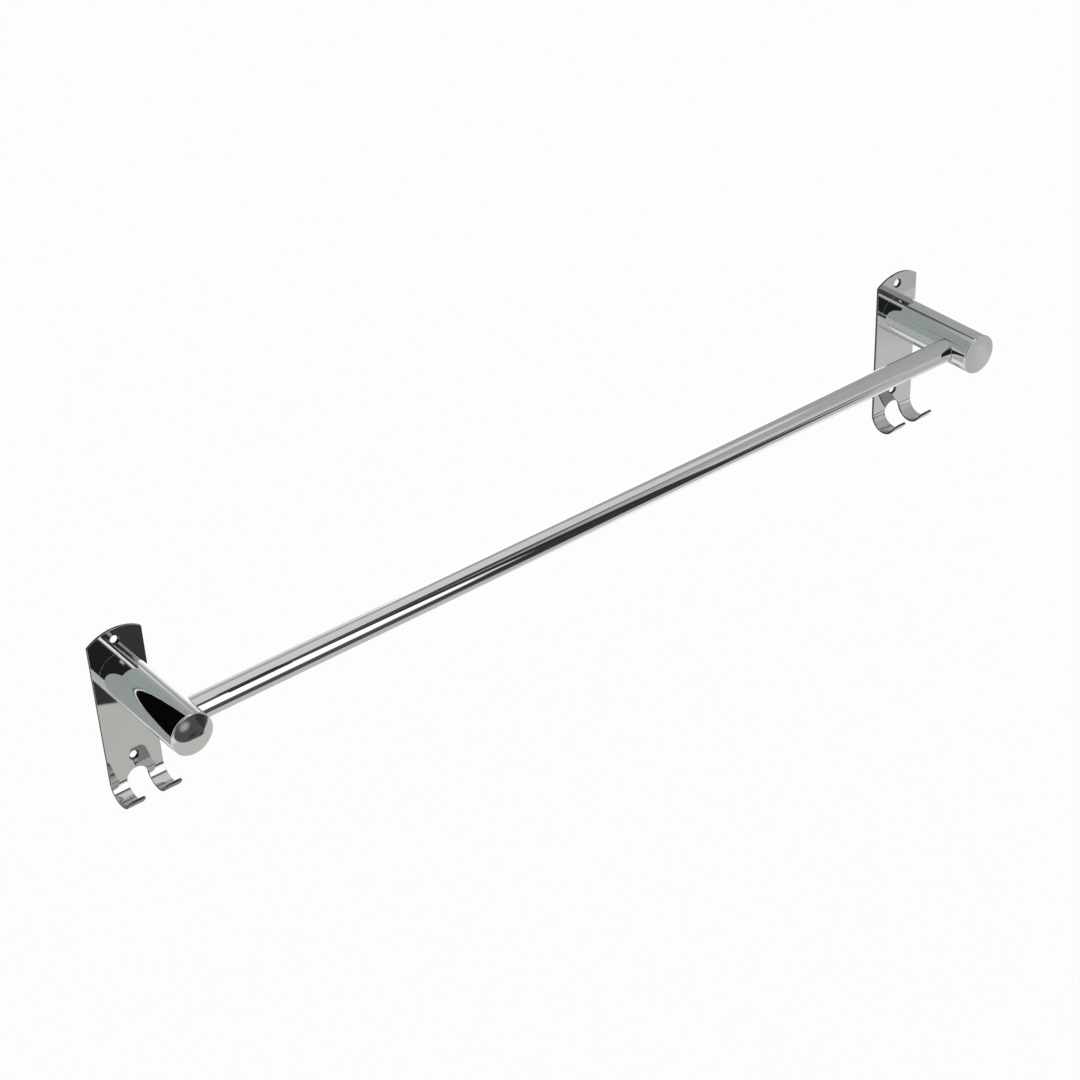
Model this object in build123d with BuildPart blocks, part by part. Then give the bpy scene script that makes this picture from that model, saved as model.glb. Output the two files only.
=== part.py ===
from build123d import *
from math import asin, cos, degrees, radians, tan
import os

# Towel bar for a wall. X runs along the rail, Y points into the wall, Z is up.
# The wall is the plane Y = 0, and the origin is the centre of the four wall screws.

# Whole bar
overall_length = 600.0  # from the outer edge of one wall plate to that of the other

# Wall plates
plate_width = 33.0
plate_thickness = 1.5
plate_top_radius = 28.0  # arch of the upper edge, centred on the post
plate_corner_radius = 1.2  # where the arch meets the sides
plate_edge_break = 0.3  # softened edges of the sheet
screw_pitch = 76.0  # between the two wall screws of one plate
upper_screw_rise = 21.0  # upper wall screw above the post's axis
wall_screw_hole = 4.4
wall_screw_sink = 6.2  # countersink at the front face

# Hooks at the lower end of each plate
notch_width = 13.0
notch_drop = 8.5  # top of the notch below the lower wall screw
bend_drop = 12.0  # centre of the bend below the lower wall screw
bend_radius = 8.5  # inside of the bend
lip_angle = 50.0  # slope of the raised lip
lip_length = 7.5  # straight part of the lip
lip_corner_radius = 2.8

# Posts
post_diameter = 25.0
post_reach = 72.0  # from the wall to the rim of the outer end
dome_rise = 1.5  # height of the domed end above its rim
post_rim_break = 0.5  # softened rim round the dome

# Rail
rail_diameter = 14.0
rail_wall = 1.2
rail_standoff = 54.5  # rail's axis from the wall
rail_insert = 5.0  # rail's end beyond the post's axis
rail_end_gap = 1.0  # between the rail's end and the bottom of its bore
rail_fit = 0.1  # radial clearance in the bore

# Countersunk screw that holds a post on its plate
post_screw_diameter = 5.0
post_screw_length = 16.0
post_screw_head = 9.2
post_screw_recess = 0.1  # head below the wall face
post_screw_socket = 3.0  # across flats
post_screw_socket_depth = 1.6
post_tap_extra = 3.0  # tapped hole beyond the screw's point

# Headless screw under a post that locks the rail
rail_screw_diameter = 5.0
rail_screw_recess = 0.4  # outer end below the post's surface
rail_screw_socket = 2.5  # across flats
rail_screw_socket_depth = 2.5

screw_fit = 0.05  # clearance round every screw
sink_angle = 90.0  # of every countersink

# Places and sizes that follow
half_span = (overall_length - plate_width) / 2
post_height = screw_pitch / 2 - upper_screw_rise
bend_height = -screw_pitch / 2 - bend_drop
notch_radius = notch_width / 2
notch_height = -screw_pitch / 2 - notch_drop - notch_radius
outer_bend_radius = bend_radius + plate_thickness
leg_width = (plate_width - notch_width) / 2
sheet_top = post_height + plate_top_radius + plate_thickness
sheet_height = sheet_top - bend_height + 2 * outer_bend_radius
post_radius = post_diameter / 2
dome_radius = (post_radius**2 + dome_rise**2) / (2 * dome_rise)
dome_angle = degrees(asin(post_radius / dome_radius))
rail_radius = rail_diameter / 2
rail_length = 2 * (half_span + rail_insert)
post_screw_radius = post_screw_diameter / 2
post_head_radius = post_screw_head / 2
sink_slope = tan(radians(sink_angle / 2))
sink_fit = screw_fit / cos(radians(sink_angle / 2))
post_sink_radius = post_head_radius + post_screw_recess * sink_slope + sink_fit
post_head_depth = (post_head_radius - post_screw_radius) / sink_slope
rail_screw_radius = rail_screw_diameter / 2
rail_screw_length = post_radius - rail_screw_recess - rail_radius - screw_fit

os.makedirs("parts", exist_ok=True)


def finish(piece, name):
    """Name a piece and write its file."""
    piece.part.label = name
    export_step(piece.part, f"parts/{name}.step")


def is_across_sheet(edge):
    """Whether an edge runs straight through the sheet, from one face to the other."""
    return abs(edge.length - plate_thickness) < 0.001


def is_across_leg(edge):
    """Whether an edge is a seam between a fold and a straight stretch of a leg."""
    return abs(edge.length - leg_width) < 0.001 and abs(edge.tangent_at(0.5).X) > 0.999


# Rail: a straight tube whose ends sit inside the posts
rail_end = Plane(origin=(-rail_length / 2, -rail_standoff, post_height), z_dir=(1, 0, 0))

with BuildPart() as rail:
    with BuildSketch(rail_end):
        Circle(rail_radius)
        Circle(rail_radius - rail_wall, mode=Mode.SUBTRACT)
    extrude(amount=rail_length)
finish(rail, "rail")

for side, inward in (("left", 1), ("right", -1)):
    post_x = -inward * half_span
    side_view = Plane(origin=(post_x, 0, 0), x_dir=(0, 1, 0), z_dir=(1, 0, 0))
    front_view = Plane(origin=(post_x, 0, 0), x_dir=(1, 0, 0), z_dir=(0, -1, 0))
    plate_front = front_view.offset(plate_thickness)
    top_view = Plane(origin=(post_x, 0, post_height), x_dir=(1, 0, 0), z_dir=(0, 0, 1))
    post_axis = Axis((post_x, 0, post_height), (0, 1, 0))
    post_on_wall = Plane(origin=(post_x, 0, post_height), x_dir=(1, 0, 0), z_dir=(0, 1, 0))
    screw_head = post_on_wall.offset(-post_screw_recess)
    screw_side_view = Plane(origin=screw_head.origin, x_dir=(1, 0, 0), z_dir=(0, 0, 1))
    bore_mouth = Plane(
        origin=(post_x + inward * post_radius, -rail_standoff, post_height), z_dir=(inward, 0, 0)
    )
    under_post = Plane(
        origin=(post_x, -rail_standoff, post_height - post_radius), z_dir=(0, 0, -1)
    )
    rail_screw_end = under_post.offset(-rail_screw_recess)

    # Wall plate: the sheet's fold seen from the side, as wide as the plate
    with BuildPart() as wall_plate:
        with BuildSketch(side_view):
            with BuildLine():
                back = Line((0, sheet_top), (0, bend_height))
                bend = JernArc(back @ 1, back % 1, outer_bend_radius, -90 - lip_angle)
                lip = Line(bend @ 1, bend @ 1 + (bend % 1) * lip_length)
                offset(amount=plate_thickness, side=Side.RIGHT)
            make_face()
        extrude(amount=plate_width / 2, both=True)

        # Its outline seen from the front: an arch above, a round-topped notch between two legs below
        with BuildSketch(front_view):
            with Locations((0, post_height)):
                Circle(plate_top_radius)
                Rectangle(plate_width, sheet_height, align=(Align.CENTER, Align.MAX))
            with Locations((0, notch_height)):
                Circle(notch_radius, mode=Mode.SUBTRACT)
                Rectangle(
                    notch_width, sheet_height, align=(Align.CENTER, Align.MAX), mode=Mode.SUBTRACT
                )
        extrude(amount=2 * post_reach, both=True, mode=Mode.INTERSECT)

        # Rounded corners, then the softened edges, which leave out the seams of folds and arcs
        fillet(wall_plate.edges().filter_by(Axis.Y).group_by(Axis.Z)[-1], plate_corner_radius)
        lip_ends = wall_plate.faces().sort_by(Axis.Y)[:2]
        fillet(lip_ends.edges().filter_by(Axis.X, reverse=True), lip_corner_radius)
        seams = wall_plate.edges().filter_by(is_across_sheet)
        seams += wall_plate.edges().filter_by(is_across_leg)
        chamfer([edge for edge in wall_plate.edges() if edge not in seams], plate_edge_break)

        # Countersunk holes: two for the wall screws, and one from behind for the post's screw
        with Locations(plate_front):
            with GridLocations(0, screw_pitch, 1, 2):
                CounterSinkHole(
                    wall_screw_hole / 2, wall_screw_sink / 2, counter_sink_angle=sink_angle
                )
        with Locations(post_on_wall):
            CounterSinkHole(
                post_screw_radius + screw_fit, post_sink_radius, counter_sink_angle=sink_angle
            )
    finish(wall_plate, f"wall_plate_{side}")

    # Post: a turned bar with a domed end, seated on the plate
    with BuildPart() as post:
        with BuildSketch(top_view):
            with BuildLine():
                seat = Line((0, -plate_thickness), (post_radius, -plate_thickness))
                dome = JernArc((0, -post_reach - dome_rise), (1, 0), dome_radius, dome_angle)
                Line(seat @ 1, dome @ 1)
                Line(seat @ 0, dome @ 0)
            make_face()
        revolve(axis=post_axis)
        rims = post.edges().filter_by(GeomType.CIRCLE).filter_by(Plane.XZ)
        chamfer(rims.sort_by(Axis.Y)[0], post_rim_break)

        # The screw's tapped hole, whose mouth carries on the plate's countersink
        with Locations(post_on_wall):
            CounterSinkHole(
                post_screw_radius + screw_fit,
                post_sink_radius,
                depth=post_screw_length + post_tap_extra,
                counter_sink_angle=sink_angle,
            )

        # The rail's blind bore from the inner side, and the locking screw's hole from below
        with Locations(bore_mouth):
            Hole(rail_radius + rail_fit, depth=post_radius + rail_insert + rail_end_gap)
        with Locations(under_post):
            Hole(rail_screw_radius + screw_fit, depth=post_radius)
    finish(post, f"post_{side}")

    # Screw that holds the post: a flush conical head with a hexagon socket
    with BuildPart() as post_screw:
        with BuildSketch(screw_side_view):
            with BuildLine():
                Polyline(
                    (0, 0),
                    (post_head_radius, 0),
                    (post_screw_radius, -post_head_depth),
                    (post_screw_radius, -post_screw_length),
                    (0, -post_screw_length),
                    close=True,
                )
            make_face()
        revolve(axis=post_axis)
        with BuildSketch(screw_head):
            RegularPolygon(post_screw_socket / 2, 6, major_radius=False)
        extrude(amount=-post_screw_socket_depth, mode=Mode.SUBTRACT)
    finish(post_screw, f"post_screw_{side}")

    # Locking screw: headless, from just inside the post's surface to just under the rail
    with BuildPart() as rail_screw:
        with BuildSketch(rail_screw_end):
            Circle(rail_screw_radius)
        extrude(amount=-rail_screw_length)
        with BuildSketch(rail_screw_end):
            RegularPolygon(rail_screw_socket / 2, 6, major_radius=False)
        extrude(amount=-rail_screw_socket_depth, mode=Mode.SUBTRACT)
    finish(rail_screw, f"rail_screw_{side}")
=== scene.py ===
"""A wall-mounted towel bar with two pairs of hooks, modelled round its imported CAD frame.

Every size is in metres. X runs along the rail, Y points into the wall and Z is up.
"""

from math import asin, cos, hypot, pi, radians, sin, sqrt, tan

import bmesh
import bpy
from bpy.props import (
    FloatProperty,
    FloatVectorProperty,
    IntProperty,
    PointerProperty,
)
from mathutils import Matrix, Vector


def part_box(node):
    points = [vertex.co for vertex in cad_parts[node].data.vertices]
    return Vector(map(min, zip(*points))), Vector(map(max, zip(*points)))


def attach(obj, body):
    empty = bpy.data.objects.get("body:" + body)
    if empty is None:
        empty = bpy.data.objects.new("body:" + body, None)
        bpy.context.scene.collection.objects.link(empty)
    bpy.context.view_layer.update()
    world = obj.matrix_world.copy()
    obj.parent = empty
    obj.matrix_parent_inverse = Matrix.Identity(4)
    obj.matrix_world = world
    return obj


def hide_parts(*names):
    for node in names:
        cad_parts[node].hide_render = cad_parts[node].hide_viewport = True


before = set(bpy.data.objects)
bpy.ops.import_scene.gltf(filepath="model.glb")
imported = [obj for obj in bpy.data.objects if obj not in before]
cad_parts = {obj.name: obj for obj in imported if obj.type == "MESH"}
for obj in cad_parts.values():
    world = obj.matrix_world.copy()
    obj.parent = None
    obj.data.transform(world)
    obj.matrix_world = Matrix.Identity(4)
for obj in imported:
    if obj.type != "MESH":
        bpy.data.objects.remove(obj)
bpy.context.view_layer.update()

bl_info = {
    "name": "Towel Bar with Hooks",
    "version": (1, 0, 0),
    "blender": (4, 5, 0),
    "location": "View3D > Sidebar > Towel Bar",
    "description": "Builds a plated towel bar, its brackets and its screws, piece by piece",
    "category": "Add Mesh",
}

# Places that the CAD frame gives
RAIL_LOW, RAIL_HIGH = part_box("rail")
POST_LOW, POST_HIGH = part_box("post_left")
PLATE_LOW, PLATE_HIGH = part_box("wall_plate_left")
MIDDLE = Vector((0, 0, 0))

# Working values
HAIR = 1e-5  # tolerance when an edge or a face is picked by its place
FINE = 1e-7  # tolerance of a straight cut
CLEAR = 0.001  # how far a cutter stands out of what it cuts
ARCH_SIDES = 128  # sides of a full circle, here for the plates' arch and the rings
BORE_SIDES = 96  # of the rail's bore
HOLE_SIDES = 64  # of the plates' holes, the notch and the screws
LOCK_SIDES = 48  # of the locking screw's hole
TURNS = {"X": (0, pi / 2, 0), "Y": (-pi / 2, 0, 0), "Z": (0, 0, 0)}  # of a primitive, by its axis
UPRIGHT = (pi / 2, 0, 0)  # a flat primitive that stands and faces the front
SQUARE = 0.9  # least part of a normal along an axis when its face lies square to that axis
SMOOTH = radians(40)  # faces that meet at less are shaded as one surface
SMOOTH_TURNED = radians(30)  # the same on the tube and the screws
NOISE_LOW, NOISE_HIGH = 0.3, 0.7  # most of a noise lies between these
SMEARED = 0.96  # brightness of smeared metal beside clean metal

# The camera, as the photograph was taken. It looks back at its target from a distance, turned
# round the upright axis, raised and rolled, in degrees.
CAMERA_TARGET = (-0.02776, 0, -0.13092)
CAMERA_DISTANCE = 1.57648
CAMERA_TURN = -36.12
CAMERA_RISE = 37.08
CAMERA_ROLL = -3.33
CAMERA_LENS = 86.92  # millimetres, on a sensor as below
CAMERA_SENSOR = 36
CAMERA_SHIFT = (0.0231, 0.1481)

# The studio round the bar: boards and lamps that the plating mirrors, and nothing else sees. A
# level of 1 is white. Azimuths run from the front, 0, over the right-hand side, 90, to the wall,
# 180, and elevations are above the horizon, all in degrees as seen from the middle. Soft is how
# far a board fades in from its sides and from its ends, as shares of its size.
FLOOR = -1.2
NEUTRAL = (1, 1, 1)
COOL = (0.9, 0.985, 0.98)
WARM = (1, 1, 0.95)
SCREENS = (
    # name, level, tint, azimuths, elevations, distance, soft
    # In front: a dark board, a tall lamp at its edge, and darker boards round the lamp
    ("screen_front", 0.03, NEUTRAL, (-62, 14), (-20, 54), 20, (0.03, 0.06)),
    ("lamp_front", 1.8, NEUTRAL, (18.2, 28.9), (-0.5, 38), 20, (0.05, 0.05)),
    ("lamp_foot", 1.6, NEUTRAL, (18.2, 26), (-5, 5), 19.8, (0.08, 0.15)),
    ("screen_stand", 0.04, NEUTRAL, (28.8, 34.9), (-12, 44), 18, (0.15, 0.02)),
    ("screen_strip", 0.76, NEUTRAL, (30, 42.5), (-6, 27), 19, (0.35, 0.35)),
    ("screen_stool", 0.05, NEUTRAL, (26, 41), (-43, 0.5), 17, (0.2, 0.08)),
    ("stool_top", 0.05, NEUTRAL, (28, 36.4), (-12, 2), 16.95, (0.08, 0.15)),
    ("screen_step", 0.15, NEUTRAL, (20, 30), (-30, -4), 18, (0.15, 0.2)),
    ("screen_lintel", 0.1, NEUTRAL, (10, 30), (39, 56), 14.5, (0.06, 0.06)),
    ("screen_hood", 0.1, NEUTRAL, (27.5, 42.5), (37, 56), 14.5, (0.06, 0.06)),
    ("screen_brim", 0.08, NEUTRAL, (39, 54), (43, 56), 14.5, (0.08, 0.1)),
    # On the right and round to the wall: grey boards, with lamps low down before them
    ("screen_side", 0.54, NEUTRAL, (32, 84), (-4, 53.5), 20, (0.01, 0.03)),
    ("screen_turn", 0.53, NEUTRAL, (68, 116), (-4, 54), 20.5, (0.03, 0.03)),
    ("screen_back", 0.50, NEUTRAL, (98, 160), (-3, 58), 21, (0.02, 0.03)),
    ("lamp_back", 1.5, NEUTRAL, (140.6, 154), (-28, 29), 18, (0.1, 0.25)),
    ("lamp_tail", 0.88, NEUTRAL, (148, 160), (-28, 32), 18.5, (0.1, 0.2)),
    ("lamp_low", 1.5, NEUTRAL, (122, 142), (-28, -5), 18, (0.1, 0.3)),
    ("lamp_mid", 1.0, NEUTRAL, (132, 142), (-14, 9), 18.2, (0.15, 0.3)),
    # On the left, from the wall forwards: cool grey boards
    ("screen_wall", 0.47, COOL, (156, 196), (-24, 64), 20, (0.02, 0.03)),
    ("screen_reveal", 0.46, COOL, (190, 226), (-42, 64), 20.2, (0.03, 0.03)),
    ("screen_end", 0.47, COOL, (216, 246), (-42, 58), 20.4, (0.05, 0.04)),
    ("screen_line", 0.12, COOL, (154, 172), (48.5, 53.5), 14.5, (0.1, 0.2)),
    ("screen_foot", 0.62, COOL, (222, 250), (-58, -3), 19, (0.1, 0.12)),
    # Below the bar, for what the hooks and the rail's underside mirror
    ("lamp_under", 1.3, NEUTRAL, (72, 124), (-61, -48), 13, (0.15, 0.3)),
    ("screen_low", 0.76, NEUTRAL, (39, 122), (-52, -4), 19, (0.03, 0.1)),
    ("screen_heel", 0.28, NEUTRAL, (130, 156), (-58, -44), 13, (0.15, 0.15)),
    ("strip_low", 0.06, NEUTRAL, (40, 56), (-23.5, -20.5), 17, (0.2, 0.2)),
    ("screen_black", 0.05, NEUTRAL, (17, 32), (-40, -31.5), 16.8, (0.45, 0.45)),
)
SPOTS = (
    # The same, but round: soft is one share
    ("spot_lens", 0.1, NEUTRAL, (0, 45), (-42, -12), 16.9, 0.05),
    ("spot_light", 0.5, NEUTRAL, (5, 22), (-29, -14), 16.6, 0.4),
)
SHEETS = (
    # name, level, tint, place, size, rotation in degrees, soft
    # Large sheets under and over the bar
    ("sheet_under", 0.7, WARM, (8, 0, -12), (18, 34), (0, 0, 0), (0.05, 0.05)),
    ("sheet_over", 0.86, NEUTRAL, (0, 0, 12), (18, 18), (0, 0, 0), (0.05, 0.05)),
    # Two cards before the right bracket
    ("card_light", 0.62, NEUTRAL, (0.416, -0.208, -0.03), (0.29, 0.265), (0, 0, 0), (0.02, 0.02)),
    ("card_band", 0.7, NEUTRAL, (0.35, -0.12, -0.0295), (0.07, 0.2), (0, 0, 25), (0.5, 0.1)),
    # A dark card over the left bracket, and a light one below it
    ("card_dark", 0.05, NEUTRAL, (-0.225, -0.075, 0.046), (0.042, 0.03), (90, 0, 0), (0.05, 0.05)),
    (
        "card_plate",
        0.7,
        WARM,
        (-0.201, -0.1761, -0.1823),
        (0.06, 0.0645),
        (127, 0, 25.1),
        (0.05, 0.02),
    ),
)
RING_CENTRE = (0.1059, 0.05, -0.0924)  # from the left post's axis at the wall
RING_START = 78  # degrees above the post's right-hand side, as seen from the front
RINGS = (
    # name, level, inner and outer radius, end in degrees as for RING_START
    ("ring_line", 0.1, 0.2284, 0.2297, 168),
    ("ring_light", 1.0, 0.2297, 0.2316, 172),
    ("ring_black", 0.003, 0.2316, 0.3016, 198),
)


def length(name, description, default):
    """A property for a size in metres."""
    return FloatProperty(
        name=name, description=description, default=default, min=0, unit="LENGTH", precision=4
    )


def colour(name, description, default):
    """A property for a colour."""
    return FloatVectorProperty(
        name=name, description=description, default=default, size=3, min=0, max=1, subtype="COLOR"
    )


# Sizes and colours that a user would change


class RailSizes(bpy.types.PropertyGroup):
    """Sizes of the rail"""

    diameter: length("Diameter", "Outside diameter of the tube", RAIL_HIGH.z - RAIL_LOW.z)
    wall: length("Wall", "Thickness of the tube's wall", 0.0012)
    length: length(
        "Length", "Whole length, with the ends inside the posts", RAIL_HIGH.x - RAIL_LOW.x
    )
    standoff: length(
        "Stand-off", "From the wall to the rail's axis", -(RAIL_LOW.y + RAIL_HIGH.y) / 2
    )
    end_break: length("End Chamfer", "Chamfer round the tube's ends", 0.0003)
    sides: IntProperty(name="Sides", description="Sides round the tube", default=160, min=24)


class PostSizes(bpy.types.PropertyGroup):
    """Sizes of the two posts"""

    half_span: length(
        "Half Span", "From the middle to a post's axis", -(POST_LOW.x + POST_HIGH.x) / 2
    )
    height: length("Height", "Post's axis above the middle", (POST_LOW.z + POST_HIGH.z) / 2)
    diameter: length("Diameter", "Diameter of the turned bar", POST_HIGH.z - POST_LOW.z)
    reach: length("Reach", "From the wall to the top of the domed end", -POST_LOW.y)
    dome_rise: length("Dome", "Height of the domed end above its rim", 0.0015)
    rim_break: length("Rim", "Rounding of the rim round the dome", 0.0005)
    foot_break: length("Foot", "Rounding where the post meets its plate", 0.00015)
    bore_break: length("Bore Break", "Softened rim of the rail's bore", 0.0003)
    bore_fit: length("Bore Clearance", "Gap between the rail and its bore", 0.0001)
    bore_past_axis: length("Bore Depth", "Bore's bottom beyond the post's axis", 0.006)
    sides: IntProperty(name="Sides", description="Sides round the post", default=192, min=24)
    rings: IntProperty(name="Rings", description="Rings in the domed end", default=20, min=4)


class PlateSizes(bpy.types.PropertyGroup):
    """Sizes of the two wall plates and their hooks"""

    width: length("Width", "Width of the plate", PLATE_HIGH.x - PLATE_LOW.x)
    thickness: length("Thickness", "Thickness of the sheet", 0.0015)
    top_radius: length("Top Radius", "Radius of the arched top, centred on the post", 0.028)
    corner_radius: length("Corner", "Rounding where the arch meets the sides", 0.0012)
    edge_break: length("Edges", "Softening of the cut edges", 0.0003)
    screw_rise: length("Screw Rise", "Wall screws above and below the middle", 0.038)
    screw_hole: length("Screw Hole", "Diameter of a wall screw's hole", 0.0044)
    screw_sink: length("Countersink", "Diameter of the countersink at the front", 0.0062)
    notch_width: length("Notch", "Width of the notch between the hooks", 0.013)
    notch_height: length("Notch Centre", "Centre of the notch's arc below the middle", 0.053)
    bend_height: length("Bend Centre", "Centre of the bend below the middle", 0.050)
    bend_radius: length("Bend", "Outside radius of the bend", 0.010)
    bend_angle: FloatProperty(
        name="Bend Angle",
        description="How far the hooks turn",
        default=radians(140),
        subtype="ANGLE",
    )
    lip_length: length("Lip", "Straight part at the end of a hook", 0.0075)
    lip_corner: length("Lip Corner", "Rounding of a hook's corners", 0.0036)


class ScrewSizes(bpy.types.PropertyGroup):
    """Sizes of the screws that hold the posts and the rail"""

    diameter: length("Diameter", "Diameter of both kinds of screw", 0.005)
    clearance: length("Clearance", "Gap round every screw", 0.00005)
    head: length("Head", "Diameter of the countersunk head", 0.0092)
    head_recess: length("Head Recess", "Head below the plate's back", 0.0001)
    shank: length("Length", "Length of the countersunk screw", 0.016)
    tapped_extra: length("Tapped Extra", "Hole beyond the screw's point", 0.003)
    head_socket: length("Head Socket", "Across the flats of the countersunk screw's socket", 0.003)
    head_socket_depth: length("Head Socket Depth", "Depth of that socket", 0.0016)
    lock_recess: length("Lock Recess", "Locking screw below the post's surface", 0.0004)
    lock_length: length("Lock Length", "Length of the locking screw", 0.00505)
    lock_socket: length("Lock Socket", "Across the flats of the locking screw's socket", 0.0025)
    lock_socket_depth: length("Lock Socket Depth", "Depth of that socket", 0.0025)
    point_break: length("Point Chamfer", "Chamfer round the countersunk screw's point", 0.0006)
    lock_break: length("Lock Rounding", "Rounding of the locking screw's ends", 0.0003)


class FinishColours(bpy.types.PropertyGroup):
    """Colours of the finishes"""

    plating: colour("Plating", "Bright plating of posts and rail", (0.66, 0.665, 0.67))
    sheet: colour("Sheet", "Plated faces of the sheet", (0.62, 0.622, 0.618))
    # The cut edges are rougher metal, coloured near-black: painted shade for the dark outline along
    # the sheet's edges
    cut_edge_painted_shade: colour("Cut Edge", "Plated edges where the sheet was cut", (0.10, 0.10, 0.10))
    screw: colour("Screw", "Zinc plated steel of the screws", (0.46, 0.47, 0.48))
    floor: colour("Floor", "Pale floor", (0.98, 0.98, 0.98))


class TowelBarSettings(bpy.types.PropertyGroup):
    """Everything that can be changed"""

    rail: PointerProperty(type=RailSizes)
    post: PointerProperty(type=PostSizes)
    plate: PointerProperty(type=PlateSizes)
    screw: PointerProperty(type=ScrewSizes)
    finish: PointerProperty(type=FinishColours)


# Working in the scene as by hand


def deselect():
    """Leave edit mode with no object selected."""
    if bpy.context.object and bpy.context.object.mode != "OBJECT":
        bpy.ops.object.mode_set(mode="OBJECT")
    bpy.ops.object.select_all(action="DESELECT")


def choose(piece):
    """Select one object alone."""
    deselect()
    piece.select_set(True)
    bpy.context.view_layer.objects.active = piece


def edit(piece):
    """Open one object's mesh with nothing selected in it."""
    choose(piece)
    bpy.ops.object.mode_set(mode="EDIT")
    bpy.ops.mesh.select_all(action="DESELECT")


def place_of(item):
    """The middle of a vertex, an edge or a face."""
    if isinstance(item, bmesh.types.BMVert):
        return item.co
    return sum((corner.co for corner in item.verts), Vector()) / len(item.verts)


def pick(kind, test):
    """In the open mesh, select the vertices, edges or faces that pass a test."""
    bpy.ops.mesh.select_mode(type=kind)
    bpy.ops.mesh.select_all(action="DESELECT")
    mesh = bpy.context.edit_object.data
    shape = bmesh.from_edit_mesh(mesh)
    items = {"VERT": shape.verts, "EDGE": shape.edges, "FACE": shape.faces}[kind]
    for item in items:
        if test(item):
            item.select_set(True)
    shape.select_flush_mode()
    bmesh.update_edit_mesh(mesh)


def named(piece, name):
    """Give the new object its name, and set its place into its mesh."""
    piece.name = piece.data.name = name
    bpy.ops.object.transform_apply(location=True, rotation=True, scale=True)
    return piece


def add_cylinder(name, axis, radius, start, end, across, sides):
    """Add a cylinder along an axis from one place to another; across gives the other two places."""
    number = "XYZ".index(axis)
    centre = list(across)
    centre.insert(number, (start + end) / 2)
    deselect()
    bpy.ops.mesh.primitive_cylinder_add(
        vertices=sides,
        radius=radius,
        depth=abs(end - start),
        location=centre,
        rotation=TURNS[axis],
    )
    return named(bpy.context.object, name)


def add_countersunk(name, top, head, shank, reach):
    """A conical head whose flat top lies at a place, and a shank to a reach beyond it."""
    depth = head - shank
    deselect()
    bpy.ops.mesh.primitive_cone_add(
        vertices=HOLE_SIDES,
        radius1=head,
        radius2=shank,
        depth=depth,
        location=(top[0], top[1] - depth / 2, top[2]),
        rotation=(pi / 2, 0, 0),
    )
    shape = named(bpy.context.object, name)
    edit(shape)
    pick("FACE", lambda face: face.normal.y < -SQUARE)
    bpy.ops.mesh.extrude_region_move(
        TRANSFORM_OT_translate={"value": (0, -(reach - depth), 0)}
    )
    bpy.ops.object.mode_set(mode="OBJECT")
    return shape


def countersink_radius(screw):
    """Radius at the wall of the countersink that takes a post's screw with its clearance."""
    return screw.head / 2 + screw.head_recess + screw.clearance * sqrt(2)


def copy_of(piece, name):
    """Copy an object with a mesh of its own."""
    choose(piece)
    bpy.ops.object.duplicate(linked=False)
    return named(bpy.context.object, name)


def cut(piece, cutter):
    """Cut a closed shape out of a piece, and throw the cutter away."""
    choose(piece)
    hole = piece.modifiers.new("Hole", "BOOLEAN")
    hole.operation = "DIFFERENCE"
    hole.solver = "EXACT"
    hole.object = cutter
    bpy.ops.object.modifier_apply(modifier=hole.name)
    bpy.data.objects.remove(cutter, do_unlink=True)


def even_shading(piece):
    """Shade smooth across shallow angles, with large faces kept true."""
    choose(piece)
    bpy.ops.object.shade_smooth_by_angle(angle=SMOOTH)
    weight = piece.modifiers.new("Shading", "WEIGHTED_NORMAL")
    weight.mode = "FACE_AREA"
    weight.weight = 100
    weight.keep_sharp = True
    bpy.ops.object.modifier_apply(modifier=weight.name)


def place_piece(piece, node, slot, *materials):
    """Let a finished piece stand for its CAD node, in its finish."""
    while len(piece.data.materials) < len(materials):
        piece.data.materials.append(None)
    for number, material in enumerate(materials):
        piece.data.materials[number] = material
    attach(piece, "root")
    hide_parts(node)


# Finishes


def new_material(name):
    """A material with its shader and its object coordinates."""
    material = bpy.data.materials.new(name)
    material.use_nodes = True
    tree = material.node_tree
    shader = tree.nodes["Principled BSDF"]
    where = tree.nodes.new("ShaderNodeTexCoord")
    return material, tree, shader, where.outputs["Object"]


def add_noise(tree, where, stretch, scale, detail=2.0, rough=0.5):
    """Noise on stretched coordinates; its output runs from 0 to 1."""
    mapping = tree.nodes.new("ShaderNodeMapping")
    mapping.inputs["Scale"].default_value = stretch
    tree.links.new(where, mapping.inputs["Vector"])
    noise = tree.nodes.new("ShaderNodeTexNoise")
    noise.inputs["Scale"].default_value = scale
    noise.inputs["Detail"].default_value = detail
    noise.inputs["Roughness"].default_value = rough
    tree.links.new(mapping.outputs["Vector"], noise.inputs["Vector"])
    return noise.outputs["Fac"]


def add_range(tree, value, low, high):
    """A noise brought to the range from low to high."""
    change = tree.nodes.new("ShaderNodeMapRange")
    change.inputs["From Min"].default_value = NOISE_LOW
    change.inputs["From Max"].default_value = NOISE_HIGH
    change.inputs["To Min"].default_value = low
    change.inputs["To Max"].default_value = high
    tree.links.new(value, change.inputs["Value"])
    return change.outputs["Result"]


def add_bump(tree, height, depth, under=None):
    """Bump from a height, over another bump if there is one."""
    bump = tree.nodes.new("ShaderNodeBump")
    bump.inputs["Strength"].default_value = 1.0
    bump.inputs["Distance"].default_value = depth
    tree.links.new(height, bump.inputs["Height"])
    if under is not None:
        tree.links.new(under, bump.inputs["Normal"])
    return bump.outputs["Normal"]


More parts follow.
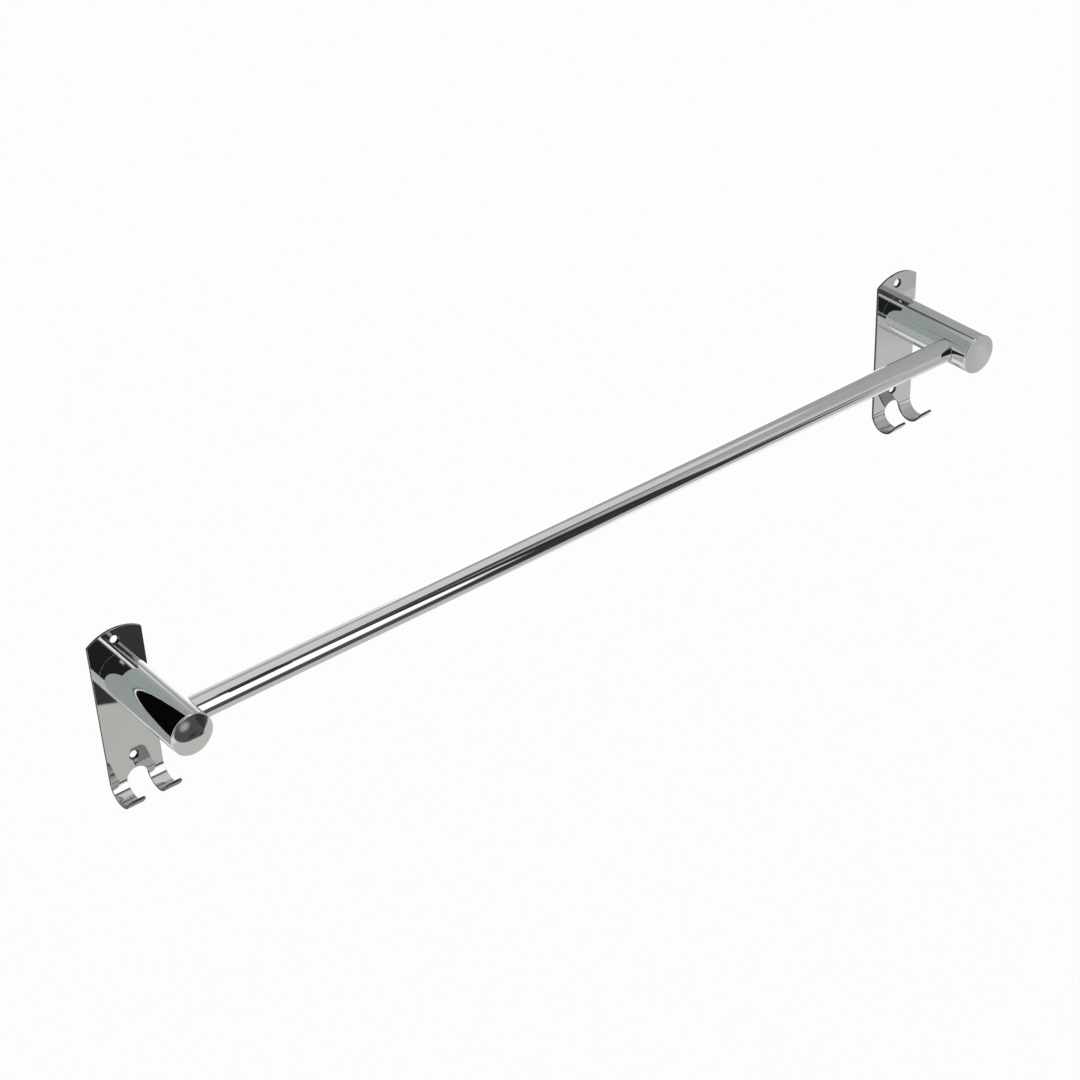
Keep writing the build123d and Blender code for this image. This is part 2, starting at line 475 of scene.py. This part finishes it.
def add_tint(tree, value, dark, light):
    """A colour between two, by a noise."""
    ramp = tree.nodes.new("ShaderNodeValToRGB")
    ramp.color_ramp.elements[0].position = NOISE_LOW
    ramp.color_ramp.elements[0].color = (*dark, 1)
    ramp.color_ramp.elements[1].position = NOISE_HIGH
    ramp.color_ramp.elements[1].color = (*light, 1)
    tree.links.new(value, ramp.inputs["Fac"])
    return ramp.outputs["Color"]


def metal(name, tone, rough, waves, lines, smear=18):
    """Plated or bare metal: slow waves, polishing lines and faint smears.

    rough is the roughness of clean and of smeared places, waves is (scale, depth), and
    lines is (stretch, scale, depth).
    """
    material, tree, shader, where = new_material(name)
    tone = Vector(tone)
    smears = add_noise(tree, where, (1, 1, 1), smear, detail=4, rough=0.6)
    slow = add_noise(tree, where, (1, 1, 1), waves[0], detail=0.5)
    fine = add_noise(tree, where, lines[0], lines[1], detail=2)
    normal = add_bump(tree, slow, waves[1])
    normal = add_bump(tree, fine, lines[2], normal)
    shader.inputs["Metallic"].default_value = 1.0
    tree.links.new(add_tint(tree, smears, tone * SMEARED, tone), shader.inputs["Base Color"])
    tree.links.new(add_range(tree, smears, rough[0], rough[1]), shader.inputs["Roughness"])
    tree.links.new(normal, shader.inputs["Normal"])
    return material


# Operators, one for each kind of piece


class TOWELBAR_OT_rail(bpy.types.Operator):
    """Model the rail: a plated tube whose ends sit inside the posts"""

    bl_idname = "towel_bar.rail"
    bl_label = "Rail"
    bl_options = {"REGISTER", "UNDO"}

    def execute(self, context):
        sizes = context.scene.towel_bar.rail
        post = context.scene.towel_bar.post
        end = sizes.length / 2
        rail = add_cylinder(
            "rail_tube",
            "X",
            sizes.diameter / 2,
            -end,
            end,
            (-sizes.standoff, post.height),
            sizes.sides,
        )

        # The bar becomes a tube: its ends are inset by the wall, then joined by a tunnel
        edit(rail)
        pick("FACE", lambda face: abs(face.normal.x) > SQUARE)
        bpy.ops.mesh.inset(thickness=sizes.wall)
        bpy.ops.mesh.bridge_edge_loops()
        pick(
            "EDGE",
            lambda edge: end - abs(place_of(edge).x) < HAIR
            and abs(edge.verts[0].co.x - edge.verts[1].co.x) < HAIR
            and len({round(face.normal.x, 1) for face in edge.link_faces}) > 1,
        )
        bpy.ops.mesh.bevel(offset=sizes.end_break, segments=1, affect="EDGES")
        bpy.ops.object.mode_set(mode="OBJECT")
        bpy.ops.object.shade_smooth_by_angle(angle=SMOOTH_TURNED)

        plating = metal(
            "plated_tube",
            context.scene.towel_bar.finish.plating,
            rough=(0.02, 0.035),
            waves=(9, 0.00001),
            lines=((4, 260, 260), 3, 0.000001),
        )
        place_piece(rail, "rail", "plated_rail", plating)
        return {"FINISHED"}


class TOWELBAR_OT_posts(bpy.types.Operator):
    """Model the two posts: turned bars with domed ends, bored for the rail and the screws"""

    bl_idname = "towel_bar.posts"
    bl_label = "Posts"
    bl_options = {"REGISTER", "UNDO"}

    def execute(self, context):
        settings = context.scene.towel_bar
        sizes = settings.post
        uncut = self.turned_bar(sizes, settings.plate)
        post = copy_of(uncut, "turned_post_left")
        self.bore(post, sizes, settings.rail, settings.screw)

        # The other post is its mirror image
        mirrored = [copy_of(post, "turned_post_right"), copy_of(uncut, "uncut_right")]
        for piece in mirrored:
            edit(piece)
            bpy.ops.mesh.select_all(action="SELECT")
            bpy.ops.transform.resize(value=(-1, 1, 1), center_override=MIDDLE)
            bpy.ops.mesh.normals_make_consistent(inside=False)
            bpy.ops.object.mode_set(mode="OBJECT")
        even_shading(mirrored[1])

        plating = metal(
            "plated_bar",
            settings.finish.plating,
            rough=(0.02, 0.04),
            waves=(22, 0.00001),
            lines=((40, 420, 40), 3, 0.000001),
        )
        for piece, whole, node in ((post, uncut, "post_left"), (*mirrored, "post_right")):
            self.keep_surface(piece, whole, sizes)
            place_piece(piece, node, "plated_post", plating)
        return {"FINISHED"}

    def turned_bar(self, sizes, plate):
        """The left post before it is bored."""
        radius = sizes.diameter / 2
        rim = sizes.reach - sizes.dome_rise
        uncut = add_cylinder(
            "uncut_post",
            "Y",
            radius,
            -rim,
            -plate.thickness,
            (-sizes.half_span, sizes.height),
            sizes.sides,
        )

        # The dome: the outer end is inset ring by ring, each ring a little further out
        sphere = (radius**2 + sizes.dome_rise**2) / (2 * sizes.dome_rise)
        edit(uncut)
        pick("FACE", lambda face: face.normal.y < -SQUARE)
        step = radius / sizes.rings
        rise = 0.0
        for ring in range(1, sizes.rings):
            ring_radius = radius - ring * step
            ring_rise = sqrt(sphere**2 - ring_radius**2) - (sphere - sizes.dome_rise)
            bpy.ops.mesh.inset(thickness=step, depth=ring_rise - rise)
            rise = ring_rise
        bpy.ops.mesh.poke(offset=sizes.dome_rise - rise)

        # The rim and the foot are rounded
        for end, amount in ((rim, sizes.rim_break), (plate.thickness, sizes.foot_break)):
            pick(
                "EDGE",
                lambda edge: all(
                    abs(corner.co.y + end) < HAIR
                    and abs(self.from_axis(corner.co, sizes) - radius) < HAIR
                    for corner in edge.verts
                ),
            )
            bpy.ops.mesh.bevel(offset=amount, segments=4, affect="EDGES")
        even_shading(uncut)
        return uncut

    @staticmethod
    def bore(post, sizes, rail, screw):
        """The rail's blind bore from the inner side, then a hole for each screw."""
        x, z = -sizes.half_span, sizes.height
        rail_bore = rail.diameter / 2 + sizes.bore_fit
        cut(
            post,
            add_cylinder(
                "rail_bore",
                "X",
                rail_bore,
                x - sizes.bore_past_axis,
                x + sizes.diameter,
                (-rail.standoff, z),
                BORE_SIDES,
            ),
        )

        cut(
            post,
            add_cylinder(
                "lock_bore",
                "Z",
                screw.diameter / 2 + screw.clearance,
                z - sizes.diameter,
                z,
                (x, -rail.standoff),
                LOCK_SIDES,
            ),
        )
        cut(
            post,
            add_countersunk(
                "tapped_bore",
                (x, 0, z),
                countersink_radius(screw),
                screw.diameter / 2 + screw.clearance,
                screw.shank + screw.tapped_extra,
            ),
        )

        # Last, the rim that the rail passes is softened
        edit(post)
        pick(
            "EDGE",
            lambda edge: all(
                corner.co.x > x + sizes.diameter / 4
                and abs(hypot(corner.co.y + rail.standoff, corner.co.z - z) - rail_bore) < HAIR
                for corner in edge.verts
            ),
        )
        bpy.ops.mesh.bevel(offset=sizes.bore_break, segments=2, affect="EDGES")
        bpy.ops.object.mode_set(mode="OBJECT")

    @staticmethod
    def from_axis(place, sizes):
        """Distance from the nearer post's axis."""
        return hypot(abs(place.x) - sizes.half_span, place.z - sizes.height)

    def keep_surface(self, piece, whole, sizes):
        """Give the turned surface round the bores the shading of the uncut bar."""
        choose(piece)
        bpy.ops.object.shade_smooth_by_angle(angle=SMOOTH)
        outside = piece.vertex_groups.new(name="outside")
        outside.add(
            [
                corner.index
                for corner in piece.data.vertices
                if self.from_axis(corner.co, sizes) > sizes.diameter / 2 - HAIR
                or corner.co.y < -sizes.reach + sizes.dome_rise + HAIR
            ],
            1.0,
            "REPLACE",
        )
        surface = piece.modifiers.new("Surface", "DATA_TRANSFER")
        surface.object = whole
        surface.use_loop_data = True
        surface.data_types_loops = {"CUSTOM_NORMAL"}
        surface.loop_mapping = "POLYINTERP_NEAREST"
        surface.vertex_group = outside.name
        bpy.ops.object.modifier_apply(modifier=surface.name)
        piece.vertex_groups.clear()
        bpy.data.objects.remove(whole, do_unlink=True)


class TOWELBAR_OT_plates(bpy.types.Operator):
    """Model the two wall plates: arched sheets folded up into a pair of hooks"""

    bl_idname = "towel_bar.plates"
    bl_label = "Wall Plates"
    bl_options = {"REGISTER", "UNDO"}

    def execute(self, context):
        settings = context.scene.towel_bar
        sizes, post = settings.plate, settings.post
        x = -post.half_span
        plate = self.arch(sizes, post, x)
        self.notch(sizes, x)
        self.fill_round_holes(sizes, settings.screw, post, x)
        self.hooks(sizes, x)
        self.thicken(plate, sizes, settings.screw, post, x)

        faces = metal(
            "plated_sheet_face",
            settings.finish.sheet,
            rough=(0.02, 0.045),
            waves=(30, 0.00004),
            lines=((120, 120, 30), 4, 0.000001),
        )
        # The cut edges: rougher metal, with a near-black colour as painted shade for their dark
        # outline
        edges = metal(
            "sheet_edge_painted_shade",
            settings.finish.cut_edge_painted_shade,
            rough=(0.16, 0.3),
            waves=(300, 0.00002),
            lines=((900, 60, 900), 3, 0.00001),
        )
        other = copy_of(plate, "hooked_plate_right")
        bpy.ops.transform.translate(value=(2 * post.half_span, 0, 0))
        bpy.ops.object.transform_apply(location=True, rotation=True, scale=True)
        for piece, node in ((plate, "wall_plate_left"), (other, "wall_plate_right")):
            place_piece(piece, node, "plated_sheet", faces, edges)
        return {"FINISHED"}

    @staticmethod
    def arch(sizes, post, x):
        """The arched top and the sides of the sheet's flat part, as an outline."""
        deselect()
        bpy.ops.mesh.primitive_circle_add(
            vertices=ARCH_SIDES,
            radius=sizes.top_radius,
            fill_type="NGON",
            location=(x, 0, post.height),
            rotation=UPRIGHT,
        )
        plate = named(bpy.context.object, "hooked_plate_left")

        # The arch is what two straight cuts leave of a disc, and the sides run down from it
        edit(plate)
        half = sizes.width / 2
        for place, away in (
            ((x - half, 0, 0), (-1, 0, 0)),
            ((x + half, 0, 0), (1, 0, 0)),
            ((x, 0, post.height), (0, 0, -1)),
        ):
            bpy.ops.mesh.select_all(action="SELECT")
            bpy.ops.mesh.bisect(
                plane_co=place, plane_no=away, clear_outer=True, threshold=FINE
            )
        bpy.ops.mesh.select_all(action="SELECT")
        bpy.ops.mesh.delete(type="ONLY_FACE")
        pick("EDGE", lambda edge: abs(place_of(edge).z - post.height) < HAIR)
        bpy.ops.mesh.delete(type="EDGE")
        pick("VERT", lambda corner: abs(corner.co.z - post.height) < HAIR)
        bpy.ops.mesh.extrude_vertices_move(
            TRANSFORM_OT_translate={"value": (0, 0, -(post.height + sizes.bend_height))}
        )

        # The shoulders where the arch meets the sides are rounded
        shoulder = post.height + sqrt(sizes.top_radius**2 - half**2)
        pick(
            "VERT",
            lambda corner: abs(corner.co.z - shoulder) < HAIR
            and abs(abs(corner.co.x - x) - half) < HAIR,
        )
        turn = pi / 2 - asin(half / sizes.top_radius)
        bpy.ops.mesh.bevel(
            offset=sizes.corner_radius * tan(turn / 2), segments=5, affect="VERTICES"
        )
        return plate

    @staticmethod
    def notch(sizes, x):
        """The arc of the notch, down to where the bend starts, and the foot of each leg."""
        bpy.ops.mesh.select_all(action="DESELECT")
        bpy.ops.mesh.primitive_circle_add(
            vertices=HOLE_SIDES,
            radius=sizes.notch_width / 2,
            fill_type="NGON",
            location=(x, 0, -sizes.notch_height),
            rotation=UPRIGHT,
        )
        bpy.ops.mesh.bisect(
            plane_co=(x, 0, -sizes.bend_height),
            plane_no=(0, 0, -1),
            clear_outer=True,
            threshold=FINE,
        )
        bpy.ops.mesh.select_all(action="SELECT")
        bpy.ops.mesh.delete(type="ONLY_FACE")
        pick("EDGE", lambda edge: abs(place_of(edge).z + sizes.bend_height) < HAIR)
        bpy.ops.mesh.delete(type="EDGE")
        for side in (-1, 1):
            pick(
                "VERT",
                lambda corner: abs(corner.co.z + sizes.bend_height) < HAIR
                and (corner.co.x - x) * side > 0,
            )
            bpy.ops.mesh.edge_face_add()

    @staticmethod
    def fill_round_holes(sizes, screw, post, x):
        """The three holes, then one face between all the outlines."""
        for height, radius in (
            (sizes.screw_rise, sizes.screw_hole / 2),
            (-sizes.screw_rise, sizes.screw_hole / 2),
            (post.height, countersink_radius(screw) - sizes.thickness),
        ):
            bpy.ops.mesh.primitive_circle_add(
                vertices=HOLE_SIDES,
                radius=radius,
                fill_type="NOTHING",
                location=(x, 0, height),
                rotation=UPRIGHT,
            )
        bpy.ops.mesh.select_all(action="SELECT")
        bpy.ops.mesh.fill(use_beauty=True)

    @staticmethod
    def hooks(sizes, x):
        """Both legs spun round the bend, drawn out into lips and rounded at their corners."""
        outer = sizes.bend_radius
        pick(
            "EDGE",
            lambda edge: abs(place_of(edge).z + sizes.bend_height) < HAIR
            and abs(edge.verts[0].co.z - edge.verts[1].co.z) < HAIR,
        )
        bpy.ops.mesh.spin(
            steps=42,
            angle=sizes.bend_angle,
            center=(x, -outer, -sizes.bend_height),
            axis=(1, 0, 0),
        )
        up = sizes.bend_angle - pi / 2
        bpy.ops.mesh.extrude_edges_move(
            TRANSFORM_OT_translate={
                "value": (0, -cos(up) * sizes.lip_length, sin(up) * sizes.lip_length)
            }
        )

        # The notch's arc runs on a little way into the bend
        mesh = bmesh.from_edit_mesh(bpy.context.edit_object.data)
        radius = sizes.notch_width / 2
        start = sqrt(radius**2 - (sizes.notch_height - sizes.bend_height) ** 2)
        rows = sorted(
            {
                (round(corner.co.y, 6), round(corner.co.z, 6))
                for corner in mesh.verts
                if corner.co.y < -HAIR and abs(abs(corner.co.x - x) - start) < HAIR
            }
        )
        for y, z in rows:
            over_centre = 0 if y < -outer else max(0, z + sizes.notch_height)
            wide = sqrt(radius**2 - over_centre**2)
            for side in (-1, 1):
                pick(
                    "VERT",
                    lambda corner: abs(corner.co.y - y) < HAIR
                    and abs(corner.co.z - z) < HAIR
                    and abs(corner.co.x - x - side * start) < HAIR,
                )
                bpy.ops.transform.translate(value=(side * (wide - start), 0, 0))

        # Rounded corners at the lips
        mesh = bmesh.from_edit_mesh(bpy.context.edit_object.data)
        front = min(corner.co.y for corner in mesh.verts)
        pick("VERT", lambda corner: corner.co.y < front + HAIR)
        bpy.ops.mesh.bevel(offset=sizes.lip_corner, segments=10, affect="VERTICES")

        # One side of the sheet faces the wall throughout
        bpy.ops.mesh.select_all(action="SELECT")
        bpy.ops.mesh.normals_make_consistent(inside=False)
        mesh = bmesh.from_edit_mesh(bpy.context.edit_object.data)
        if sum(face.normal.y * face.calc_area() for face in mesh.faces) < 0:
            bpy.ops.mesh.flip_normals()
        bpy.ops.object.mode_set(mode="OBJECT")

    @staticmethod
    def thicken(plate, sizes, screw, post, x):
        """The sheet's thickness, its countersinks and its softened edges."""
        choose(plate)
        sheet = plate.modifiers.new("Sheet", "SOLIDIFY")
        sheet.thickness = sizes.thickness
        sheet.offset = -1
        sheet.use_even_offset = True
        # The rim faces take the second material, the cut edges' rough metal with its painted shade
        sheet.material_offset_rim = 1
        plate.data.materials.append(None)
        plate.data.materials.append(None)
        bpy.ops.object.modifier_apply(modifier=sheet.name)
        edit(plate)
        bpy.ops.mesh.select_all(action="SELECT")
        bpy.ops.mesh.dissolve_limited(angle_limit=radians(0.5), delimit={"NORMAL", "MATERIAL"})

        def near(item, height, reach):
            place = place_of(item)
            return (place.x - x) ** 2 + (place.z - height) ** 2 < reach**2

        # Wall screw holes: straight at the back, countersunk at the front
        sink = (sizes.screw_sink - sizes.screw_hole) / 2
        reach = sizes.screw_hole / 2 + HAIR
        for height in (sizes.screw_rise, -sizes.screw_rise):
            pick("FACE", lambda face: near(face, height, reach) and abs(face.normal.y) < 0.1)
            bpy.ops.mesh.bisect(
                plane_co=(0, sink - sizes.thickness, 0), plane_no=(0, 1, 0), threshold=FINE
            )
            pick(
                "VERT",
                lambda corner: near(corner, height, reach)
                and abs(corner.co.y + sizes.thickness) < HAIR,
            )
            grow = sizes.screw_sink / sizes.screw_hole
            bpy.ops.transform.resize(
                value=(grow, 1, grow), center_override=(x, -sizes.thickness, height)
            )

        # The middle hole widens towards the wall, round the head of the post's screw
        back = countersink_radius(screw)
        front = back - sizes.thickness
        pick(
            "VERT",
            lambda corner: near(corner, post.height, front + HAIR) and abs(corner.co.y) < HAIR,
        )
        grow = back / front
        bpy.ops.transform.resize(value=(grow, 1, grow), center_override=(x, 0, post.height))
        bpy.ops.object.mode_set(mode="OBJECT")

        edges = plate.modifiers.new("Edges", "BEVEL")
        edges.width = sizes.edge_break
        edges.segments = 3
        edges.limit_method = "ANGLE"
        edges.angle_limit = radians(60)
        edges.use_clamp_overlap = True
        bpy.ops.object.modifier_apply(modifier=edges.name)
        even_shading(plate)


class TOWELBAR_OT_screws(bpy.types.Operator):
    """Model the screws: one behind each plate for the post, one under each post for the rail"""

    bl_idname = "towel_bar.screws"
    bl_label = "Screws"
    bl_options = {"REGISTER", "UNDO"}

    def execute(self, context):
        settings = context.scene.towel_bar
        screw, post, rail = settings.screw, settings.post, settings.rail
        x, z = -post.half_span, post.height
        steel = metal(
            "zinc_plated_steel",
            settings.finish.screw,
            rough=(0.22, 0.36),
            waves=(400, 0.00001),
            lines=((700, 700, 700), 3, 0.000004),
            smear=160,
        )

        # Countersunk screw with a hexagon socket, flush in the back of the plate
        holder = add_countersunk(
            "post_fixing_left",
            (x, -screw.head_recess, z),
            screw.head / 2,
            screw.diameter / 2,
            screw.shank,
        )
        point = -screw.head_recess - screw.shank
        edit(holder)
        pick("FACE", lambda face: place_of(face).y < point + HAIR)
        bpy.ops.mesh.bevel(offset=screw.point_break, segments=1, affect="EDGES")
        bpy.ops.object.mode_set(mode="OBJECT")
        socket = add_cylinder(
            "socket",
            "Y",
            screw.head_socket / sqrt(3),
            -screw.head_recess - screw.head_socket_depth,
            CLEAR,
            (x, z),
            6,
        )
        cut(holder, socket)

        # Headless screw up into the post's underside, against the rail
        low = z - post.diameter / 2 + screw.lock_recess
        lock = add_cylinder(
            "rail_lock_left",
            "Z",
            screw.diameter / 2,
            low,
            low + screw.lock_length,
            (x, -rail.standoff),
            HOLE_SIDES,
        )
        edit(lock)
        pick("FACE", lambda face: abs(face.normal.z) > SQUARE)
        bpy.ops.mesh.bevel(offset=screw.lock_break, segments=2, affect="EDGES")
        bpy.ops.object.mode_set(mode="OBJECT")
        socket = add_cylinder(
            "socket",
            "Z",
            screw.lock_socket / sqrt(3),
            low - CLEAR,
            low + screw.lock_socket_depth,
            (x, -rail.standoff),
            6,
        )
        cut(lock, socket)

        for piece, name, node in (
            (holder, "post_fixing_right", "post_screw"),
            (lock, "rail_lock_right", "rail_screw"),
        ):
            choose(piece)
            bpy.ops.object.shade_smooth_by_angle(angle=SMOOTH_TURNED)
            other = copy_of(piece, name)
            bpy.ops.transform.translate(value=(2 * post.half_span, 0, 0))
            bpy.ops.object.transform_apply(location=True, rotation=True, scale=True)
            place_piece(piece, f"{node}_left", "screw_steel", steel)
            place_piece(other, f"{node}_right", "screw_steel", steel)
        return {"FINISHED"}


class TOWELBAR_OT_stage(bpy.types.Operator):
    """Set the pale floor, the soft light and the camera"""

    bl_idname = "towel_bar.stage"
    bl_label = "Stage"
    bl_options = {"REGISTER", "UNDO"}

    def execute(self, context):
        self.world(context.scene)
        self.floor(context.scene.towel_bar.finish)
        for name, level, tint, azimuths, elevations, distance, soft in SCREENS + SPOTS:
            self.screen(name, (level, tint), azimuths, elevations, distance, soft)
        for name, level, tint, place, size, rotation, soft in SHEETS:
            turned = [radians(angle) for angle in rotation]
            self.panel(name, (level, tint), place, size, turned, soft)
        for name, level, inner, outer, end in RINGS:
            self.ring(name, (level, NEUTRAL), inner, outer, end, context.scene.towel_bar.post)
        self.camera(context.scene)
        context.scene.view_settings.view_transform = "Standard"
        deselect()
        return {"FINISHED"}

    @staticmethod
    def world(scene):
        """A plain white surround."""
        world = bpy.data.worlds.new("soft_studio")
        world.use_nodes = True
        world.node_tree.nodes["Background"].inputs["Color"].default_value = (1, 1, 1, 1)
        world.node_tree.nodes["Background"].inputs["Strength"].default_value = 1.0
        scene.world = world

    @staticmethod
    def floor(finish):
        """A pale floor, seen as white, that keeps what little shadow falls on it."""
        deselect()
        bpy.ops.mesh.primitive_plane_add(size=60, location=(0, 0, FLOOR))
        floor = named(bpy.context.object, "floor")
        material = bpy.data.materials.new("pale_floor")
        material.use_nodes = True
        tree = material.node_tree
        shader = tree.nodes["Principled BSDF"]
        shader.inputs["Base Color"].default_value = (*finish.floor, 1)
        shader.inputs["Roughness"].default_value = 0.9
        shader.inputs["Specular IOR Level"].default_value = 0.0
        floor.data.materials.append(material)
        floor.visible_glossy = False

    def screen(self, name, light, azimuths, elevations, distance, soft):
        """A panel that faces the middle, between two azimuths and two elevations in degrees."""
        turn = radians(sum(azimuths) / 2)
        rise = radians(sum(elevations) / 2)
        wide = 2 * distance * cos(rise) * tan(radians(azimuths[1] - azimuths[0]) / 2)
        high = 2 * distance * tan(radians(elevations[1] - elevations[0]) / 2)
        away = Vector((sin(turn) * cos(rise), -cos(turn) * cos(rise), sin(rise)))
        self.panel(name, light, away * distance, (wide, high), (pi / 2 - rise, 0, turn), soft)

    def panel(self, name, light, place, size, rotation, soft):
        """A sheet that only the plating mirrors.

        soft is how far it fades in from its sides and from its ends, as shares of its size, or
        one share for a round one.
        """
        deselect()
        bpy.ops.mesh.primitive_plane_add(size=1, location=place, rotation=rotation)
        panel = bpy.context.object
        panel.scale = (*size, 1)
        named(panel, name)
        material, tree, shine = self.shining(name, light)
        clear = tree.nodes.new("ShaderNodeBsdfTransparent")
        mix = tree.nodes.new("ShaderNodeMixShader")
        where = tree.nodes.new("ShaderNodeTexCoord").outputs["UV"]
        if isinstance(soft, tuple):
            parts = tree.nodes.new("ShaderNodeSeparateXYZ")
            tree.links.new(where, parts.inputs["Vector"])
            both = tree.nodes.new("ShaderNodeMath")
            both.operation = "MULTIPLY"
            for number, share in enumerate(soft):
                inward = tree.nodes.new("ShaderNodeMath")
                inward.operation = "PINGPONG"
                inward.inputs[1].default_value = 0.5
                tree.links.new(parts.outputs[number], inward.inputs[0])
                tree.links.new(self.fade(tree, inward.outputs[0], share), both.inputs[number])
            shown = both.outputs[0]
        else:
            away = tree.nodes.new("ShaderNodeVectorMath")
            away.operation = "DISTANCE"
            away.inputs[1].default_value = (0.5, 0.5, 0)
            tree.links.new(where, away.inputs[0])
            inward = tree.nodes.new("ShaderNodeMath")
            inward.operation = "SUBTRACT"
            inward.inputs[0].default_value = 0.5
            tree.links.new(away.outputs["Value"], inward.inputs[1])
            shown = self.fade(tree, inward.outputs[0], soft)
        tree.links.new(shown, mix.inputs[0])
        tree.links.new(clear.outputs[0], mix.inputs[1])
        tree.links.new(shine.outputs[0], mix.inputs[2])
        tree.links.new(mix.outputs[0], tree.nodes["Material Output"].inputs["Surface"])
        self.mirrored_only(panel, material)

    @staticmethod
    def shining(name, light):
        """A material that shines evenly; light is its brightness, where 1 is white, and tint."""
        material = bpy.data.materials.new(name)
        material.use_nodes = True
        tree = material.node_tree
        tree.nodes.remove(tree.nodes["Principled BSDF"])
        shine = tree.nodes.new("ShaderNodeEmission")
        shine.inputs["Color"].default_value = (*light[1], 1)
        shine.inputs["Strength"].default_value = light[0]
        tree.links.new(shine.outputs[0], tree.nodes["Material Output"].inputs["Surface"])
        return material, tree, shine

    @staticmethod
    def fade(tree, inward, share):
        """From nothing at an edge to everything at a share of the size inside it."""
        fade = tree.nodes.new("ShaderNodeMapRange")
        fade.interpolation_type = "SMOOTHSTEP"
        fade.inputs["From Max"].default_value = share
        tree.links.new(inward, fade.inputs["Value"])
        return fade.outputs["Result"]

    @staticmethod
    def mirrored_only(card, material):
        """Hide a card from the camera and from the floor."""
        card.data.materials.append(material)
        card.visible_camera = False
        card.visible_diffuse = False
        card.visible_shadow = False

    def ring(self, name, light, inner, outer, end, post):
        """Part of a ring behind the left post, which the post's upper side mirrors.

        Seen from the post's axis, it runs from RING_START to end.
        """
        axis = Vector((-post.half_span, 0, post.height))
        centre = axis + Vector(RING_CENTRE)
        deselect()
        bpy.ops.mesh.primitive_circle_add(
            vertices=ARCH_SIDES, radius=inner, location=centre, rotation=UPRIGHT
        )
        ring = named(bpy.context.object, name)
        edit(ring)
        pick("VERT", lambda corner: True)
        bpy.ops.mesh.extrude_region_move()
        grow = outer / inner
        bpy.ops.transform.resize(value=(grow, 1, grow), center_override=centre)
        for angle in (RING_START, end - 180):
            bpy.ops.mesh.select_all(action="SELECT")
            bpy.ops.mesh.bisect(
                plane_co=axis,
                plane_no=(sin(radians(angle)), 0, -cos(radians(angle))),
                clear_outer=True,
                threshold=FINE,
            )
        bpy.ops.object.mode_set(mode="OBJECT")
        self.mirrored_only(ring, self.shining(name, light)[0])

    @staticmethod
    def camera(scene):
        """The camera, with its own right and upward directions rolled about its view."""
        turn, rise, roll = radians(CAMERA_TURN), radians(CAMERA_RISE), radians(CAMERA_ROLL)
        back = Vector((sin(turn) * cos(rise), -cos(turn) * cos(rise), sin(rise)))
        right = Vector((cos(turn), sin(turn), 0))
        up = back.cross(right)
        right, up = cos(roll) * right + sin(roll) * up, cos(roll) * up - sin(roll) * right
        data = bpy.data.cameras.new("camera")
        data.lens = CAMERA_LENS
        data.sensor_width = CAMERA_SENSOR
        data.shift_x, data.shift_y = CAMERA_SHIFT
        camera = bpy.data.objects.new("camera", data)
        scene.collection.objects.link(camera)
        place = Vector(CAMERA_TARGET) + back * CAMERA_DISTANCE
        facing = Matrix((right, up, back)).transposed().to_4x4()
        camera.matrix_world = Matrix.Translation(place) @ facing
        scene.camera = camera


class VIEW3D_PT_towel_bar(bpy.types.Panel):
    """The towel bar's pieces in the sidebar"""

    bl_label = "Towel Bar"
    bl_space_type = "VIEW_3D"
    bl_region_type = "UI"
    bl_category = "Towel Bar"

    def draw(self, context):
        settings = context.scene.towel_bar
        for operator, group in (
            (TOWELBAR_OT_plates, settings.plate),
            (TOWELBAR_OT_posts, settings.post),
            (TOWELBAR_OT_rail, settings.rail),
            (TOWELBAR_OT_screws, settings.screw),
            (TOWELBAR_OT_stage, settings.finish),
        ):
            box = self.layout.box()
            box.operator(operator.bl_idname)
            for name in group.__annotations__:
                box.prop(group, name)


CLASSES = (
    RailSizes,
    PostSizes,
    PlateSizes,
    ScrewSizes,
    FinishColours,
    TowelBarSettings,
    TOWELBAR_OT_plates,
    TOWELBAR_OT_posts,
    TOWELBAR_OT_rail,
    TOWELBAR_OT_screws,
    TOWELBAR_OT_stage,
    VIEW3D_PT_towel_bar,
)


def register():
    """Add the classes and the settings."""
    for item in CLASSES:
        bpy.utils.register_class(item)
    bpy.types.Scene.towel_bar = PointerProperty(type=TowelBarSettings)


def unregister():
    """Take them out again."""
    del bpy.types.Scene.towel_bar
    for item in reversed(CLASSES):
        bpy.utils.unregister_class(item)


def main():
    """Build every piece and the stage."""
    register()
    bpy.ops.towel_bar.plates()
    bpy.ops.towel_bar.posts()
    bpy.ops.towel_bar.rail()
    bpy.ops.towel_bar.screws()
    bpy.ops.towel_bar.stage()


if __name__ == "__main__":
    main()
